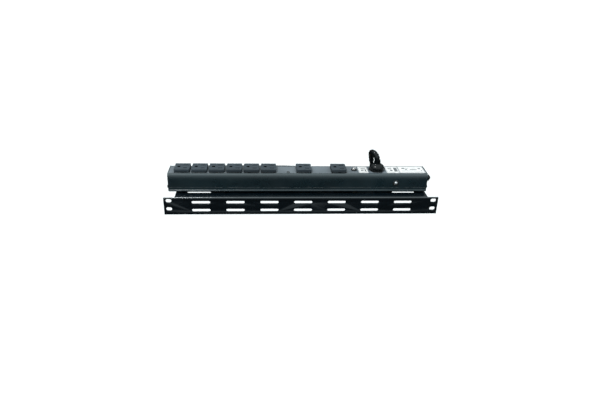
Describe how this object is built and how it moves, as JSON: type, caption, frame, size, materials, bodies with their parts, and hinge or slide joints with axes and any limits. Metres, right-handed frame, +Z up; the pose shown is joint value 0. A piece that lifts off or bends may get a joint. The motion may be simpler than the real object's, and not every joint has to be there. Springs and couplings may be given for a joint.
{
  "type": "rack power strip",
  "caption": "Rack-mount power strip: raised three-pin outlets on a long dark housing, carried by the shelf of a slotted rack bar, with a corded lead and a reset breaker.",
  "frame": {"origin": "centre of the four rack holes, on the bar's rear face that meets the rack rails", "axes": "+X to the right along the strip as seen from the front, +Y back into the rack, +Z up"},
  "size_m": [0.4826, 0.1265, 0.1028],
  "materials": {
    "bracket_black": "satin",
    "housing_black": "satin",
    "cover_grey": "satin",
    "outlet_plastic": "satin",
    "module_plastic": "matte",
    "contact_brass": "satin",
    "zinc_steel": "satin",
    "black_nylon": "gloss",
    "lamp_clear": "gloss",
    "cord_rubber": "satin",
    "label_white": "satin",
    "wire_black": "satin",
    "wire_white": "satin",
    "wire_green": "satin"
  },
  "bodies": {
    "strip": {"base_plate": "housing_black", "breaker_body": "module_plastic", "breaker_nut": "zinc_steel", "breaker_terminals": "contact_brass", "bus_tray": "module_plastic", "cord_hank": "cord_rubber", "cord_lead": "cord_rubber", "cord_tail": "cord_rubber", "cover_screw": "housing_black", "end_cap_left": "housing_black", "end_cap_right": "housing_black", "end_cap_screws": "zinc_steel", "foot_nuts": "zinc_steel", "foot_screws": "zinc_steel", "gland_body": "black_nylon", "gland_dome_nut": "black_nylon", "gland_locknut": "black_nylon", "gland_seal": "cord_rubber", "ground_busbar": "contact_brass", "ground_nut": "zinc_steel", "ground_screw": "zinc_steel", "ground_terminal": "zinc_steel", "ground_washer": "zinc_steel", "ground_wires": "wire_green", "hank_ties": "black_nylon", "housing_channel": "housing_black", "label_1": "label_white", "label_2": "label_white", "label_3": "label_white", "lamp_bezel": "black_nylon", "lamp_bulb": "lamp_clear", "lamp_lens": "lamp_clear", "lamp_nut": "black_nylon", "line_busbar": "contact_brass", "line_wires": "wire_black", "mounting_feet": "black_nylon", "neutral_busbar": "contact_brass", "neutral_wire": "wire_white", "outlet_cover": "cover_grey", "plug_body": "cord_rubber", "plug_pins": "contact_brass", "plug_strain_relief": "cord_rubber", "rack_bracket": "bracket_black", "receptacle_body_1": "module_plastic", "receptacle_body_2": "module_plastic", "receptacle_body_3": "module_plastic", "receptacle_body_4": "module_plastic", "receptacle_body_5": "module_plastic", "receptacle_body_6": "module_plastic", "receptacle_body_7": "module_plastic", "receptacle_body_8": "module_plastic", "receptacle_face_1": "outlet_plastic", "receptacle_face_2": "outlet_plastic", "receptacle_face_3": "outlet_plastic", "receptacle_face_4": "outlet_plastic", "receptacle_face_5": "outlet_plastic", "receptacle_face_6": "outlet_plastic", "receptacle_face_7": "outlet_plastic", "receptacle_face_8": "outlet_plastic"},
    "reset_button": {"reset_button": "black_nylon"}
  },
  "joints": [
    {"name": "reset_travel", "type": "slide", "parent": "strip", "child": "reset_button", "axis": [1, 0, 0], "range_m": [0, 0.0045]}
  ]
}
